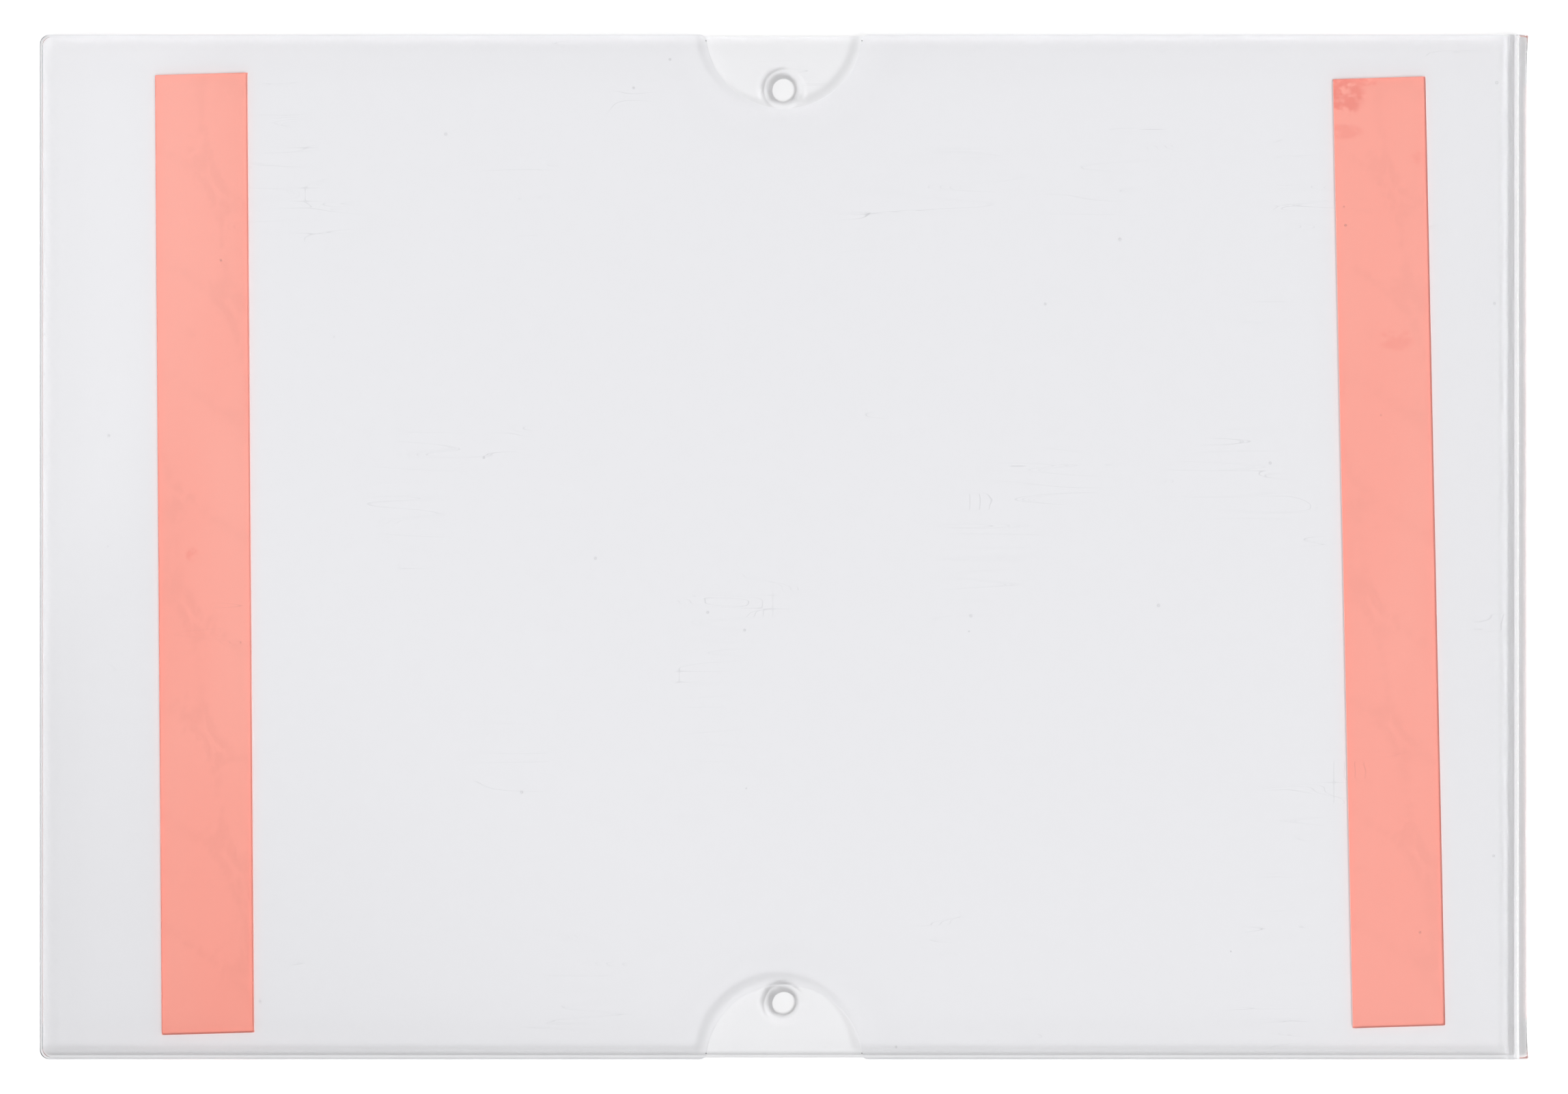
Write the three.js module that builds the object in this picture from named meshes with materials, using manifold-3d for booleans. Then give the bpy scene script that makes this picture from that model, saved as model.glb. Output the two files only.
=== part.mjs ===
// Clear acrylic document pocket for a wall: one sheet folded flat on itself, open on three sides,
// with thumb notches in its front, countersunk screw holes in its back and two strips of mounting tape.
// Millimetres. +X points to the fold, +Z up and +Y to the wall. The rear face of the back sheet is y = 0.

import * as THREE from "three";
import { mergeVertices } from "three/addons/utils/BufferGeometryUtils.js";
import Module from "manifold-3d";

const wasm = await Module();
wasm.setup();

// Folded sheet
const pocketLength = 305;
const pocketHeight = 210;
const sheetThickness = 2;
const paperSlot = 2;
const freeCornerRadius = 2;
const polishRadius = 0.2;

// The outside of the bend spreads a little towards both ends, as bent sheet does
const foldFlare = 0.35;
const foldFlareDecay = 3.5;

// Thumb notches, cut in the front sheet alone
const notchRadius = 16;
const notchDepth = 15.2;
const notchShoulderRadius = 1.4;

// Screw holes, one behind each thumb notch
const screwBore = 4.8;
const countersinkDiameter = 8.2;
const countersinkAngle = THREE.MathUtils.degToRad(90);
const screwInset = 11;

// Mounting tape and its peel-off film
const tapeWidth = 19;
const tapeThickness = 1;
const linerThickness = 0.12;
const leftTape = {
  length: 197.5,
  insetFromFreeEdge: 33.3,
  lift: -1.4,
  lean: THREE.MathUtils.degToRad(0.4),
  endSkew: THREE.MathUtils.degToRad(1.2),
};
const rightTape = {
  length: 195.3,
  insetFromFold: 28,
  lift: -1.1,
  lean: THREE.MathUtils.degToRad(1.2),
  endSkew: THREE.MathUtils.degToRad(0.6),
};

// Fineness of the facets
const arcSegments = 12;
const polishSegments = 2;
const foldLevels = 22;
const holeSegments = 48;
const coordinateStep = 1e-4;

// Worked out from the sizes above
const halfLength = pocketLength / 2;
const halfHeight = pocketHeight / 2;
const foldInnerRadius = paperSlot / 2;
const foldOuterRadius = foldInnerRadius + sheetThickness;
const foldStart = halfLength - foldOuterRadius;
const foldAxisY = -foldOuterRadius;
const frontSheetRear = -sheetThickness - paperSlot;

// Bend and sheets meet at a plane in the flat part beside the bend, each drawn this far past it and
// trimmed there
const joinAllowance = 1;
const joinPlane = foldStart - joinAllowance;

// Finishes
const acrylicFinish = new THREE.MeshStandardMaterial({
  color: 0xe9eaee,
  roughness: 0.05,
  metalness: 0,
  transparent: true,
  opacity: 0.3,
});
const tapeFinish = new THREE.MeshStandardMaterial({
  color: 0xf3e4e0,
  roughness: 0.25,
  metalness: 0,
  transparent: true,
  opacity: 0.5,
});
const linerFinish = new THREE.MeshStandardMaterial({ color: 0xf7a99b, roughness: 0.45, metalness: 0 });

// A closed three.js geometry as a solid that can be cut and joined. Its corners are rounded to
// coordinateStep, so that neighbours drawn from the same sizes meet in exactly the same points.
function solidOf(geometry) {
  const bare = geometry.clone();
  bare.deleteAttribute("normal");
  bare.deleteAttribute("uv");
  const coordinates = bare.attributes.position.array;
  coordinates.forEach((value, i) => {
    coordinates[i] = Math.round(value / coordinateStep) * coordinateStep;
  });
  const merged = mergeVertices(bare, coordinateStep / 2);
  return new wasm.Manifold(
    new wasm.Mesh({
      numProp: 3,
      vertProperties: new Float32Array(merged.attributes.position.array),
      triVerts: new Uint32Array(merged.index.array),
    }),
  );
}

// A cut or joined solid back as a geometry, with flat faces and crisp edges
function geometryOf(solid) {
  const mesh = solid.getMesh();
  const geometry = new THREE.BufferGeometry();
  geometry.setAttribute("position", new THREE.BufferAttribute(new Float32Array(mesh.vertProperties), 3));
  geometry.setIndex(new THREE.BufferAttribute(new Uint32Array(mesh.triVerts), 1));
  const faceted = geometry.toNonIndexed();
  faceted.computeVertexNormals();
  return faceted;
}

// The same solid with its corners rounded again, so that two solids trimmed by one plane end in exactly
// the same face and join into one
function settled(solid) {
  return solidOf(geometryOf(solid));
}

// How an extrusion rounds the edges of its two end faces, inside its own outline
function edgeRounding(radius) {
  return {
    bevelEnabled: radius > 0,
    bevelThickness: radius,
    bevelSize: radius,
    bevelOffset: -radius,
    bevelSegments: polishSegments,
  };
}

// An outline drawn as seen from the front, given its thickness towards the room from its rear plane.
// edgeRadius rounds its edges all round, as polishing does to cut acrylic, and is 0 for sharp ones.
function plate(outline, thickness, rearPlane, edgeRadius) {
  const geometry = new THREE.ExtrudeGeometry(outline, {
    depth: thickness - 2 * edgeRadius,
    curveSegments: arcSegments,
    ...edgeRounding(edgeRadius),
  });
  geometry.rotateX(Math.PI / 2);
  geometry.translate(0, rearPlane - edgeRadius, 0);
  return geometry;
}

// Goes along the top or bottom edge and through its thumb notch, from one shoulder to the other.
// side is +1 on the top edge, walked leftwards, and -1 on the bottom edge, walked rightwards.
function walkNotch(outline, side) {
  const rise = notchRadius - notchDepth;
  const reach = notchRadius + notchShoulderRadius;
  const drop = rise + notchShoulderRadius;
  const shoulderX = Math.sqrt(reach * reach - drop * drop);
  const shoulderZ = side * (halfHeight - notchShoulderRadius);
  const centreZ = side * (halfHeight + rise);
  const lean = Math.asin(drop / reach);
  const first = side * shoulderX;
  const outward = side * Math.PI / 2;
  outline.absarc(first, shoulderZ, notchShoulderRadius, outward, outward + Math.PI / 2 + lean, false);
  outline.absarc(0, centreZ, notchRadius, outward - Math.PI / 2 - lean, outward + Math.PI / 2 + lean, true);
  outline.absarc(-first, shoulderZ, notchShoulderRadius, outward - Math.PI / 2 - lean, outward, false);
}

// One flat sheet, square where it runs into the fold and with rounded corners on its free side
function sheetOutline(withNotches) {
  const outline = new THREE.Shape();
  const sheetEnd = joinPlane + joinAllowance;
  const cornerX = -halfLength + freeCornerRadius;
  const cornerZ = halfHeight - freeCornerRadius;
  outline.moveTo(sheetEnd, -halfHeight);
  outline.lineTo(sheetEnd, halfHeight);
  if (withNotches) {
    walkNotch(outline, 1);
  }
  outline.absarc(cornerX, cornerZ, freeCornerRadius, Math.PI / 2, Math.PI, false);
  outline.absarc(cornerX, -cornerZ, freeCornerRadius, Math.PI, Math.PI * 1.5, false);
  if (withNotches) {
    walkNotch(outline, -1);
  }
  outline.closePath();
  return outline;
}

// The U that the bend has in section, seen along the fold, with a short leg on each sheet
function foldSection() {
  const section = new THREE.Shape();
  const legEnd = joinPlane - joinAllowance;
  section.moveTo(legEnd, 2 * foldAxisY);
  section.lineTo(foldStart, 2 * foldAxisY);
  section.absarc(foldStart, foldAxisY, foldOuterRadius, -Math.PI / 2, Math.PI / 2, false);
  section.lineTo(legEnd, 0);
  section.lineTo(legEnd, -sheetThickness);
  section.lineTo(foldStart, -sheetThickness);
  section.absarc(foldStart, foldAxisY, foldInnerRadius, Math.PI / 2, -Math.PI / 2, true);
  section.lineTo(legEnd, frontSheetRear);
  section.closePath();
  return section;
}

// The fold as a loft: its section carried from end to end, with the levels crowded towards the ends,
// where the bend flares out
function foldGeometry() {
  const straight = pocketHeight - 2 * polishRadius;
  const geometry = new THREE.ExtrudeGeometry(foldSection(), {
    depth: straight,
    steps: foldLevels,
    curveSegments: arcSegments,
    ...edgeRounding(polishRadius),
  });
  geometry.translate(0, 0, -straight / 2);
  const position = geometry.attributes.position;
  for (let i = 0; i < position.count; i += 1) {
    const x = position.getX(i);
    const level = position.getZ(i);
    const along = THREE.MathUtils.clamp(level / (straight / 2), -1, 1);
    const beyond = level - along * (straight / 2);
    const crowded = Math.sin(along * Math.PI / 2) * (straight / 2);
    const nearEnd = Math.exp((Math.abs(crowded) - straight / 2) / foldFlareDecay);
    const intoBend = Math.max(0, x - foldStart - polishRadius);
    position.setX(i, x + foldFlare * nearEnd * intoBend / foldOuterRadius);
    position.setZ(i, crowded + beyond);
  }
  return geometry;
}

// All that lies beyond the plane where the flat sheets are joined to the fold
function foldSide() {
  const size = 2 * pocketLength;
  const geometry = new THREE.BoxGeometry(size, size, size);
  geometry.translate(joinPlane + size / 2, 0, 0);
  return solidOf(geometry);
}

// What a drill and a countersink take out of the back sheet, from the side of the paper
function screwHoleCutter(z) {
  const boreRadius = screwBore / 2;
  const headRadius = countersinkDiameter / 2;
  const sinkDepth = (headRadius - boreRadius) / Math.tan(countersinkAngle / 2);
  const face = -sheetThickness;
  const insideSlot = face - paperSlot / 2;
  const pastRear = sheetThickness / 2;
  const profile = [
    new THREE.Vector2(0, insideSlot),
    new THREE.Vector2(headRadius, insideSlot),
    new THREE.Vector2(headRadius, face),
    new THREE.Vector2(boreRadius, face + sinkDepth),
    new THREE.Vector2(boreRadius, pastRear),
    new THREE.Vector2(0, pastRear),
  ];
  const geometry = new THREE.LatheGeometry(profile, holeSegments);
  geometry.translate(0, 0, z);
  return solidOf(geometry);
}

// The whole folded pocket, as one piece
function foldedPocket() {
  const beyond = foldSide();
  const front = solidOf(plate(sheetOutline(true), sheetThickness, frontSheetRear, polishRadius));
  const back = solidOf(plate(sheetOutline(false), sheetThickness, 0, polishRadius));
  const screwZ = halfHeight - screwInset;
  const pocket = settled(solidOf(foldGeometry()).intersect(beyond))
    .add(settled(back.subtract(beyond)))
    .add(settled(front.subtract(beyond)))
    .subtract(screwHoleCutter(screwZ))
    .subtract(screwHoleCutter(-screwZ));
  return geometryOf(pocket);
}

// A strip of tape as seen from the front: its ends are cut a little askew, and it leans off upright
function stripOutline(strip, centreX) {
  const halfWidth = tapeWidth / 2;
  const halfStrip = strip.length / 2;
  const skew = halfWidth * Math.tan(strip.endSkew);
  const corners = [
    new THREE.Vector2(-halfWidth, -halfStrip - skew),
    new THREE.Vector2(halfWidth, -halfStrip + skew),
    new THREE.Vector2(halfWidth, halfStrip + skew),
    new THREE.Vector2(-halfWidth, halfStrip - skew),
  ];
  const centre = new THREE.Vector2(centreX, strip.lift);
  const pivot = new THREE.Vector2(0, 0);
  return new THREE.Shape(corners.map((corner) => corner.rotateAround(pivot, strip.lean).add(centre)));
}

// The two layers of one strip: the tape on the sheet, and the film on the tape
function addStrip(group, side, strip, centreX) {
  const outline = stripOutline(strip, centreX);
  const linerRear = tapeThickness + linerThickness;
  const tape = new THREE.Mesh(plate(outline, tapeThickness, tapeThickness, 0), tapeFinish);
  const liner = new THREE.Mesh(plate(outline, linerThickness, linerRear, 0), linerFinish);
  tape.name = `${side}_tape`;
  liner.name = `${side}_liner`;
  group.add(tape, liner);
}

const holder = new THREE.Group();
const pocket = new THREE.Mesh(foldedPocket(), acrylicFinish);
pocket.name = "folded_pocket";
holder.add(pocket);
addStrip(holder, "left", leftTape, -halfLength + leftTape.insetFromFreeEdge);
addStrip(holder, "right", rightTape, halfLength - rightTape.insetFromFold);

export default holder;
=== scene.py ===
"""Dresses the wall-mounted document holder: a clear folded pocket on two strips of mounting tape.

Lengths in the classes are millimetres, as in the part's source, and meshes are written in metres.
+X points to the fold, +Z up and +Y to the wall. The rear face of the back sheet is y = 0.
"""

import logging
import math
from dataclasses import dataclass, field
from enum import Enum

import bpy
import numpy as np
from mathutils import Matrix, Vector


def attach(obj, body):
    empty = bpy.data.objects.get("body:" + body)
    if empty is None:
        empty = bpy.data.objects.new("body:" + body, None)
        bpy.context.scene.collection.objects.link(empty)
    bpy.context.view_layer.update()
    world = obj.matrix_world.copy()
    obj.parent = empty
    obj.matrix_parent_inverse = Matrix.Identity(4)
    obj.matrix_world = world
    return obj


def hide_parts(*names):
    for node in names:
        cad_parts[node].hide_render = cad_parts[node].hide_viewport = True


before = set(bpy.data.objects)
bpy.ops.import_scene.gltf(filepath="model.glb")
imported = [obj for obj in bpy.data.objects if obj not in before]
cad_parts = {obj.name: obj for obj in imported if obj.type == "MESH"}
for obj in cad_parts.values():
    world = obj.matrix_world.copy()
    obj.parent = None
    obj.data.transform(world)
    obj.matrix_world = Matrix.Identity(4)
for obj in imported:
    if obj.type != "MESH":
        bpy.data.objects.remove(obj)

LOG = logging.getLogger("holder")
MM = 0.001
ROOT = "root"

IMAGE_WIDTH = 2296
WHITE = (1.0, 1.0, 1.0, 1.0)

# Reorders points given as x, z and depth to x, y, z, where the depth is y
DEPTH_TO_Y = [0, 2, 1]

Tree = bpy.types.NodeTree
Node = bpy.types.Node
Socket = bpy.types.NodeSocket
Material = bpy.types.Material
Object = bpy.types.Object
Colour = tuple[float, float, float, float]
Direction = tuple[float, float, float]
Range = tuple[float, float]
PointsAndDirections = tuple[np.ndarray, np.ndarray]

# How far light is followed through the acrylic
LIGHT_PATHS: dict[str, float] = {
    "max_bounces": 10,
    "transmission_bounces": 10,
    "glossy_bounces": 8,
    "diffuse_bounces": 2,
    "transparent_max_bounces": 32,
    "caustics_reflective": True,
    "caustics_refractive": True,
    "blur_glossy": 0.0,
    "sample_clamp_indirect": 0.0,
    "use_denoising": True,
}


class Face(Enum):
    """The kinds of surface on the folded sheet, in the order of its material slots."""

    SHEET = 0
    EDGE = 1
    DRILLED = 2
    BONDED = 3


class Layer(Enum):
    """The kinds of surface on a tape, in the order of its material slots."""

    SIDE = 0
    STUCK = 1


class Side(Enum):
    """Which of the two strips, by the name that its nodes start with."""

    LEFT = "left"
    RIGHT = "right"


# Node helpers


def link(tree: Tree, source: Socket, target: Socket) -> None:
    """Joins two sockets."""
    tree.links.new(source, target)


def math_node(tree: Tree, operation: str, first: object, second: object = None,
              clamp: bool = False) -> Socket:
    """Adds a Math node.

    Args:
        tree: the node tree that it goes into.
        operation: the name of the operation.
        first: a socket or a number.
        second: a socket or a number, or None where the operation has one input.
        clamp: True keeps the result between 0 and 1.

    Returns:
        Its output socket.
    """
    node = tree.nodes.new("ShaderNodeMath")
    node.operation = operation
    node.use_clamp = clamp
    for socket, value in zip(node.inputs, (first, second)):
        if isinstance(value, Socket):
            link(tree, value, socket)
        elif value is not None:
            socket.default_value = value
    return node.outputs[0]


def noise_node(tree: Tree, vector: Socket, scale: float, detail: float,
               stretch: Direction = (1.0, 1.0, 1.0),
               offset: Direction = (0.0, 0.0, 0.0)) -> Socket:
    """Adds a Noise texture behind a Mapping node.

    Args:
        tree: the node tree that it goes into.
        vector: the coordinates, in metres.
        scale: cells per metre.
        detail: how many finer octaves are added.
        stretch: how much finer the noise is along each axis.
        offset: where the noise is read.

    Returns:
        Its value socket.
    """
    mapping = tree.nodes.new("ShaderNodeMapping")
    mapping.inputs["Scale"].default_value = stretch
    mapping.inputs["Location"].default_value = offset
    noise = tree.nodes.new("ShaderNodeTexNoise")
    noise.inputs["Scale"].default_value = scale
    noise.inputs["Detail"].default_value = detail
    link(tree, vector, mapping.inputs["Vector"])
    link(tree, mapping.outputs["Vector"], noise.inputs["Vector"])
    return noise.outputs[0]


def ramp(tree: Tree, value: Socket, low: float, high: float, to_low: float = 0.0,
         to_high: float = 1.0) -> Socket:
    """Adds a smooth Map Range node.

    Args:
        tree: the node tree that it goes into.
        value: the value to map.
        low: where the range starts.
        high: where it ends.
        to_low: the result at the start.
        to_high: the result at the end.

    Returns:
        Its output socket.
    """
    node = tree.nodes.new("ShaderNodeMapRange")
    node.interpolation_type = "SMOOTHSTEP"
    node.inputs["From Min"].default_value = low
    node.inputs["From Max"].default_value = high
    node.inputs["To Min"].default_value = to_low
    node.inputs["To Max"].default_value = to_high
    link(tree, value, node.inputs["Value"])
    return node.outputs["Result"]


def blend_colours(tree: Tree, factor: Socket, first: object, second: object) -> Socket:
    """Adds a Mix node for colours.

    Args:
        tree: the node tree that it goes into.
        factor: the share of the second colour.
        first: a socket or a colour of four numbers.
        second: a socket or a colour of four numbers.

    Returns:
        Its colour socket.
    """
    node = tree.nodes.new("ShaderNodeMix")
    node.data_type = "RGBA"
    link(tree, factor, node.inputs["Factor"])
    for name, value in (("A", first), ("B", second)):
        socket = [s for s in node.inputs if s.name == name and s.type == "RGBA"][0]
        if isinstance(value, Socket):
            link(tree, value, socket)
        else:
            socket.default_value = value
    return [s for s in node.outputs if s.type == "RGBA"][0]


def place_group(tree: Tree, group: Tree, vector: Socket, values: dict[str, float]) -> Node:
    """Places a node group and sets its inputs.

    Args:
        tree: the material's node tree.
        group: the group to place.
        vector: the coordinates, in metres.
        values: its other inputs by name.

    Returns:
        The group node.
    """
    node = tree.nodes.new("ShaderNodeGroup")
    node.node_tree = group
    link(tree, vector, node.inputs["Vector"])
    for name, value in values.items():
        node.inputs[name].default_value = value
    return node


def start_group(name: str, inputs: tuple[str, ...], outputs: tuple[str, ...]) -> tuple[Tree, Node, Node]:
    """Starts a node group. Its first input is the coordinates, and all others are numbers.

    Args:
        name: its name.
        inputs: the names of its other inputs.
        outputs: the names of its outputs.

    Returns:
        The group, the node of its inputs and the node of its outputs.
    """
    group = bpy.data.node_groups.new(name, "ShaderNodeTree")
    group.interface.new_socket(name="Vector", in_out="INPUT", socket_type="NodeSocketVector")
    for label in inputs:
        group.interface.new_socket(name=label, in_out="INPUT", socket_type="NodeSocketFloat")
    for label in outputs:
        group.interface.new_socket(name=label, in_out="OUTPUT", socket_type="NodeSocketFloat")
    return group, group.nodes.new("NodeGroupInput"), group.nodes.new("NodeGroupOutput")


def add_bump(tree: Tree, height: Socket, strength: float, shader: Node) -> None:
    """Turns a height into a shader's normal.

    Args:
        tree: the material's node tree.
        height: the height, in millimetres.
        strength: how much of it shows.
        shader: the shader.
    """
    bump = tree.nodes.new("ShaderNodeBump")
    bump.inputs["Strength"].default_value = strength
    bump.inputs["Distance"].default_value = MM
    link(tree, height, bump.inputs["Height"])
    link(tree, bump.outputs["Normal"], shader.inputs["Normal"])


def lamp_rays(tree: Tree, path: Node) -> Socket:
    """Marks the rays that bring light to a matt surface.

    Args:
        tree: the material's node tree.
        path: its Light Path node.

    Returns:
        A mask, 1 for those rays.
    """
    return math_node(tree, "MAXIMUM", path.outputs["Is Shadow Ray"], path.outputs["Is Diffuse Ray"])


def clear_where(tree: Tree, mask: Socket, share: Colour, shader: Socket, output: Node) -> None:
    """Ends a material whose shader gives way to a clear one.

    Args:
        tree: the material's node tree.
        mask: 1 where it is clear.
        share: the share of the light that the clear shader passes.
        shader: the shader elsewhere.
        output: the material's output node.
    """
    clear = tree.nodes.new("ShaderNodeBsdfTransparent")
    clear.inputs["Color"].default_value = share
    mix = tree.nodes.new("ShaderNodeMixShader")
    link(tree, mask, mix.inputs[0])
    link(tree, shader, mix.inputs[1])
    link(tree, clear.outputs["BSDF"], mix.inputs[2])
    link(tree, mix.outputs["Shader"], output.inputs["Surface"])


def object_coordinates(tree: Tree) -> Socket:
    """Adds a Texture Coordinate node and returns its Object output."""
    return tree.nodes.new("ShaderNodeTexCoord").outputs["Object"]


def start_material(name: str) -> tuple[Material, Tree, Node]:
    """Starts an empty material.

    Args:
        name: its name.

    Returns:
        The material, its node tree and its output node.
    """
    material = bpy.data.materials.new(name)
    material.use_nodes = True
    tree = material.node_tree
    tree.nodes.clear()
    return material, tree, tree.nodes.new("ShaderNodeOutputMaterial")


# Effects that several finishes share


@dataclass(frozen=True)
class SheetWaves:
    """Slow waviness of pressed sheet: broad noise, and a little finer noise that is drawn out upwards."""

    name: str = "sheet waves"
    broad_scale: float = 12.0
    fine_scale: float = 45.0
    fine_stretch: Direction = (1.0, 1.0, 0.4)
    fine_share: float = 0.12

    def group(self) -> Tree:
        """Builds the group once and finds it later.

        Returns:
            The node group, with the inputs Vector and Strength and the output Height, which is
            strength·(broad + share·fine).
        """
        found = bpy.data.node_groups.get(self.name)
        if found is not None:
            return found
        group, entry, leave = start_group(self.name, ("Strength",), ("Height",))
        vector = entry.outputs["Vector"]
        broad = noise_node(group, vector, self.broad_scale, 0.0)
        fine = noise_node(group, vector, self.fine_scale, 0.0, self.fine_stretch)
        both = math_node(group, "ADD", broad, math_node(group, "MULTIPLY", fine, self.fine_share))
        link(group, math_node(group, "MULTIPLY", both, entry.outputs["Strength"]), leave.inputs["Height"])
        return group


@dataclass(frozen=True)
class DustAndHairlines:
    """Dust specks, as the middles of a few cells of a Voronoi pattern, and hairline scratches, as thin
    bands of a strongly stretched noise, kept to patches."""

    name: str = "dust and hairlines"
    speck_scale: float = 130.0
    speck_reach: Range = (0.05, 0.022)
    cells_left_clean: float = 0.93
    line_scale: float = 26.0
    line_stretch: Direction = (1.0, 1.0, 14.0)
    line_offset: Direction = (0.31, 0.0, 0.12)
    line_reach: Range = (0.0016, 0.0004)
    patch_scale: float = 34.0
    patch_range: Range = (0.6, 0.68)

    def group(self) -> Tree:
        """Builds the group once and finds it later.

        Returns:
            The node group, with the inputs Vector, Dust and Hairlines and the outputs Specks and Lines.
        """
        found = bpy.data.node_groups.get(self.name)
        if found is not None:
            return found
        group, entry, leave = start_group(self.name, ("Dust", "Hairlines"), ("Specks", "Lines"))
        link(group, self.specks(group, entry), leave.inputs["Specks"])
        link(group, self.lines(group, entry), leave.inputs["Lines"])
        return group

    def specks(self, group: Tree, entry: Node) -> Socket:
        """Makes the specks' mask: the middle of a cell, where the cell's random colour is high.

        Args:
            group: the group's node tree.
            entry: the node of its inputs.

        Returns:
            The mask times the input Dust.
        """
        cells = group.nodes.new("ShaderNodeTexVoronoi")
        cells.inputs["Scale"].default_value = self.speck_scale
        link(group, entry.outputs["Vector"], cells.inputs["Vector"])
        near = ramp(group, cells.outputs["Distance"], *self.speck_reach)
        random = group.nodes.new("ShaderNodeSeparateColor")
        link(group, cells.outputs["Color"], random.inputs["Color"])
        chosen = math_node(group, "GREATER_THAN", random.outputs[0], self.cells_left_clean)
        return math_node(group, "MULTIPLY", math_node(group, "MULTIPLY", near, chosen), entry.outputs["Dust"])

    def lines(self, group: Tree, entry: Node) -> Socket:
        """Makes the hairlines' mask: where a stretched noise is all but 0.5, inside patches of another.

        Args:
            group: the group's node tree.
            entry: the node of its inputs.

        Returns:
            The mask times the input Hairlines.
        """
        vector = entry.outputs["Vector"]
        streaks = noise_node(group, vector, self.line_scale, 0.0, self.line_stretch, self.line_offset)
        off_middle = math_node(group, "ABSOLUTE", math_node(group, "SUBTRACT", streaks, 0.5))
        thin = ramp(group, off_middle, *self.line_reach)
        patches = ramp(group, noise_node(group, vector, self.patch_scale, 0.0), *self.patch_range)
        kept = math_node(group, "MULTIPLY", patches, entry.outputs["Hairlines"])
        return math_node(group, "MULTIPLY", thin, kept)


# Finishes


@dataclass(frozen=True)
class ClearAcrylic:
    """Cast acrylic sheet, polished. Its broad faces pass the light of lamps straight on, as a flat pane
    does, and its edges and its bend bend it."""

    name: str
    passes_lamps: bool
    roughness: float = 0.0
    wave_strength: float = 0.0
    dust: float = 0.0
    hairlines: float = 0.0
    tint: Colour = (0.985, 0.985, 0.992, 1.0)
    lamp_share: Colour = (0.975, 0.975, 0.978, 1.0)
    mark_tint: Colour = (0.55, 0.55, 0.57, 1.0)
    mark_roughness: float = 0.3
    line_share: float = 0.35
    ior: float = 1.49

    def material(self) -> Material:
        """Builds the material.

        Returns:
            The material.
        """
        material, tree, output = start_material(self.name)
        vector = object_coordinates(tree)
        glass = tree.nodes.new("ShaderNodeBsdfPrincipled")
        glass.inputs["IOR"].default_value = self.ior
        glass.inputs["Transmission Weight"].default_value = 1.0
        glass.inputs["Base Color"].default_value = self.tint
        glass.inputs["Roughness"].default_value = self.roughness
        if self.dust > 0 or self.hairlines > 0:
            self.add_marks(tree, vector, glass)
        if self.wave_strength > 0:
            waves = place_group(tree, SheetWaves().group(), vector, {"Strength": self.wave_strength})
            add_bump(tree, waves.outputs["Height"], 1.0, glass)
        if self.passes_lamps:
            mask = lamp_rays(tree, tree.nodes.new("ShaderNodeLightPath"))
            clear_where(tree, mask, self.lamp_share, glass.outputs["BSDF"], output)
        else:
            link(tree, glass.outputs["BSDF"], output.inputs["Surface"])
        return material

    def add_marks(self, tree: Tree, vector: Socket, glass: Node) -> None:
        """Darkens and dulls the acrylic at dust specks and hairlines.

        Args:
            tree: the material's node tree.
            vector: the coordinates, in metres.
            glass: the shader.
        """
        amounts = {"Dust": self.dust, "Hairlines": self.hairlines}
        marks = place_group(tree, DustAndHairlines().group(), vector, amounts)
        faint = math_node(tree, "MULTIPLY", marks.outputs["Lines"], self.line_share)
        marked = math_node(tree, "ADD", marks.outputs["Specks"], faint, clamp=True)
        link(tree, blend_colours(tree, marked, self.tint, self.mark_tint), glass.inputs["Base Color"])
        duller = math_node(tree, "MULTIPLY", marked, self.mark_roughness)
        link(tree, math_node(tree, "ADD", duller, self.roughness), glass.inputs["Roughness"])


@dataclass(frozen=True)
class WettedContact:
    """Where clear adhesive wets a clear face: nothing reflects or bends there."""

    name: str
    share: Colour = (0.99, 0.99, 0.99, 1.0)

    def material(self) -> Material:
        """Builds the material.

        Returns:
            The material.
        """
        material, tree, output = start_material(self.name)
        clear = tree.nodes.new("ShaderNodeBsdfTransparent")
        clear.inputs["Color"].default_value = self.share
        link(tree, clear.outputs["BSDF"], output.inputs["Surface"])
        return material


@dataclass(frozen=True)
class Mottle:
    """A place where the film doesn't lie flat: its middle, its reach across and up, how strong it is, and
    the share of the reach from which it fades."""

    x: float
    z: float
    across: float
    up: float
    strength: float
    fades_from: float = 0.55

    def mask(self, tree: Tree, vector: Socket) -> Socket:
        """Makes the place's mask. It falls smoothly with the length of ((x − middle)/across,
        (z − middle)/up), and is 0 from a length of 1.

        Args:
            tree: the material's node tree.
            vector: the coordinates, in metres.

        Returns:
            The mask times the strength.
        """
        mapping = tree.nodes.new("ShaderNodeMapping")
        across, up = self.across * MM, self.up * MM
        mapping.inputs["Scale"].default_value = (1 / across, 0.0, 1 / up)
        mapping.inputs["Location"].default_value = (-self.x * MM / across, 0.0, -self.z * MM / up)
        link(tree, vector, mapping.inputs["Vector"])
        length = tree.nodes.new("ShaderNodeVectorMath")
        length.operation = "LENGTH"
        link(tree, mapping.outputs["Vector"], length.inputs[0])
        return ramp(tree, length.outputs["Value"], 1.0, self.fades_from, 0.0, self.strength)


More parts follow.
